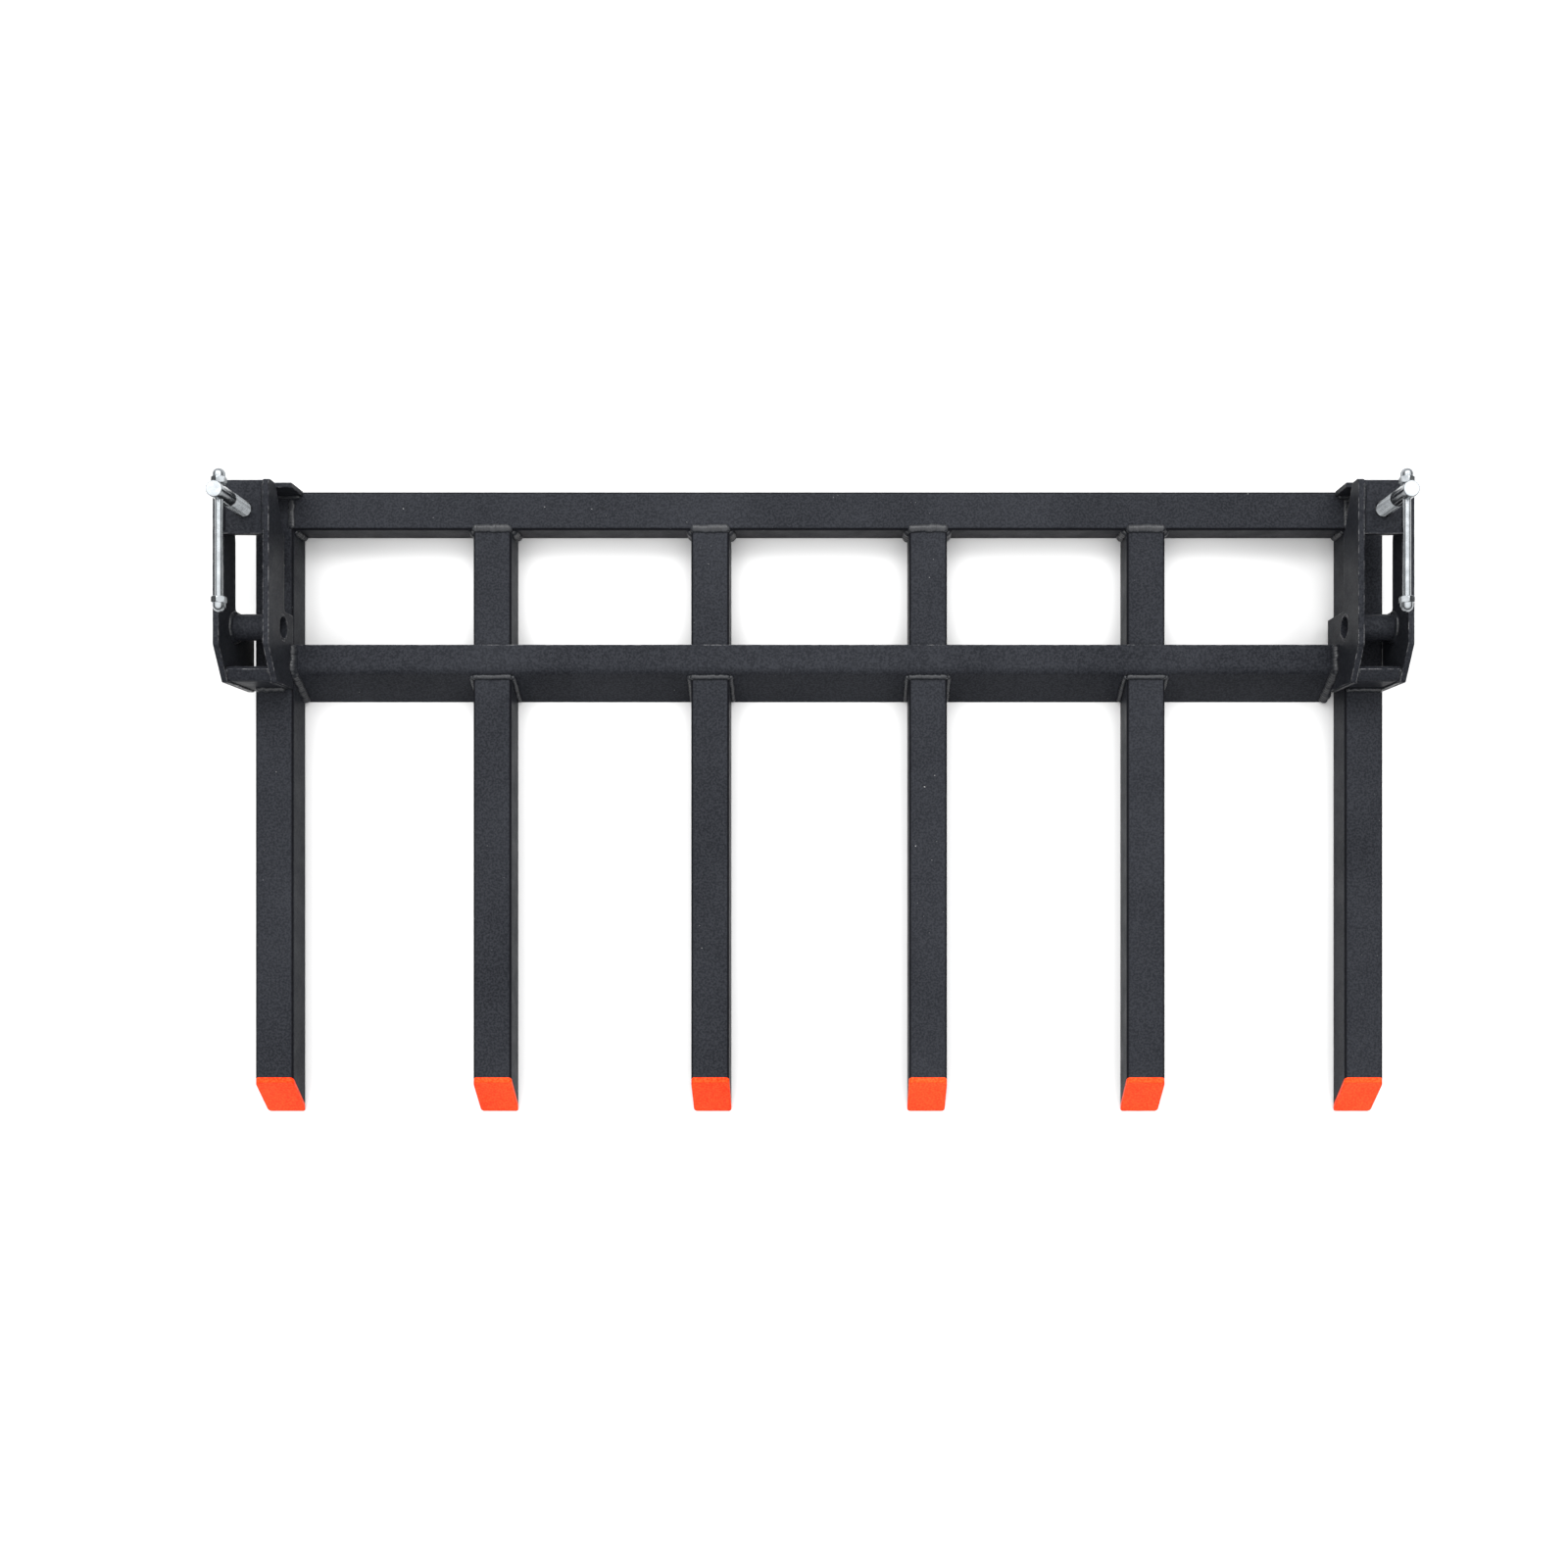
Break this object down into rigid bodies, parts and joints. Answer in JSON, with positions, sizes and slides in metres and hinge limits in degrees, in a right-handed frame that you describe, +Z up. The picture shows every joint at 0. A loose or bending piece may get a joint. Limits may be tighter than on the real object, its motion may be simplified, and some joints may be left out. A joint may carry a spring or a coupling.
{
  "type": "pallet fork attachment",
  "caption": "Clamp-on rack of square-tube tines with a stop bar and screw-clamp brackets that grip a loader bucket's lip.",
  "frame": {"origin": "centre of the outline, on the plane that the tines rest on", "axes": "+X across the rack to the right seen from the tips' end, +Y to the rear, +Z up"},
  "size_m": [1.202, 0.653, 0.181],
  "materials": {
    "black_coat": "satin textured powder coat",
    "tip_orange": "bright orange paint",
    "zinc": "bright zinc plating"
  },
  "bodies": {
    "rack": {"rear_cross_tube": "black_coat", "front_stop_bar": "black_coat", "tine_1": "black_coat", "tine_2": "black_coat", "tine_3": "black_coat", "tine_4": "black_coat", "tine_5": "black_coat", "tine_6": "black_coat", "tine_tip_1": "tip_orange", "tine_tip_2": "tip_orange", "tine_tip_3": "tip_orange", "tine_tip_4": "tip_orange", "tine_tip_5": "tip_orange", "tine_tip_6": "tip_orange", "left_outer_plate": "black_coat", "left_inner_plate": "black_coat", "left_front_plate": "black_coat", "left_nut_plate": "black_coat", "left_weld_nut": "black_coat", "left_spacer_tube": "black_coat", "left_heel_plate": "black_coat", "left_tine_end_cap": "black_coat", "right_outer_plate": "black_coat", "right_inner_plate": "black_coat", "right_front_plate": "black_coat", "right_nut_plate": "black_coat", "right_weld_nut": "black_coat", "right_spacer_tube": "black_coat", "right_heel_plate": "black_coat", "right_tine_end_cap": "black_coat"},
    "left_pad": {"left_pressure_pad": "zinc"},
    "left_screw": {"left_clamp_screw": "zinc"},
    "left_bar": {"left_t_bar": "zinc", "left_front_bar_nut": "zinc", "left_rear_bar_nut": "zinc"},
    "right_pad": {"right_pressure_pad": "zinc"},
    "right_screw": {"right_clamp_screw": "zinc"},
    "right_bar": {"right_t_bar": "zinc", "right_front_bar_nut": "zinc", "right_rear_bar_nut": "zinc"}
  },
  "joints": [
    {"name": "left_screw_feed", "type": "slide", "parent": "rack", "child": "left_pad", "axis": [0, 0, 1], "range_m": [-0.02101, 0.01501]},
    {"name": "left_screw_turn", "type": "hinge", "parent": "left_pad", "child": "left_screw", "pos_m": [-0.573, 0.292, 0.1], "axis": [0, 0, 1], "range_deg": [-3780, 2700]},
    {"name": "left_bar_slide", "type": "slide", "parent": "left_screw", "child": "left_bar", "axis": [0, 1, 0], "range_m": [0, 0.0922]},
    {"name": "right_screw_feed", "type": "slide", "parent": "rack", "child": "right_pad", "axis": [0, 0, 1], "range_m": [-0.02101, 0.01501]},
    {"name": "right_screw_turn", "type": "hinge", "parent": "right_pad", "child": "right_screw", "pos_m": [0.573, 0.292, 0.1], "axis": [0, 0, 1], "range_deg": [-3780, 2700]},
    {"name": "right_bar_slide", "type": "slide", "parent": "right_screw", "child": "right_bar", "axis": [0, 1, 0], "range_m": [0, 0.0922]}
  ],
  "couplings": [
    {"joint": "left_screw_feed", "follows": "left_screw_turn", "m_per_rad": 0.00031831},
    {"joint": "right_screw_feed", "follows": "right_screw_turn", "m_per_rad": 0.00031831}
  ]
}
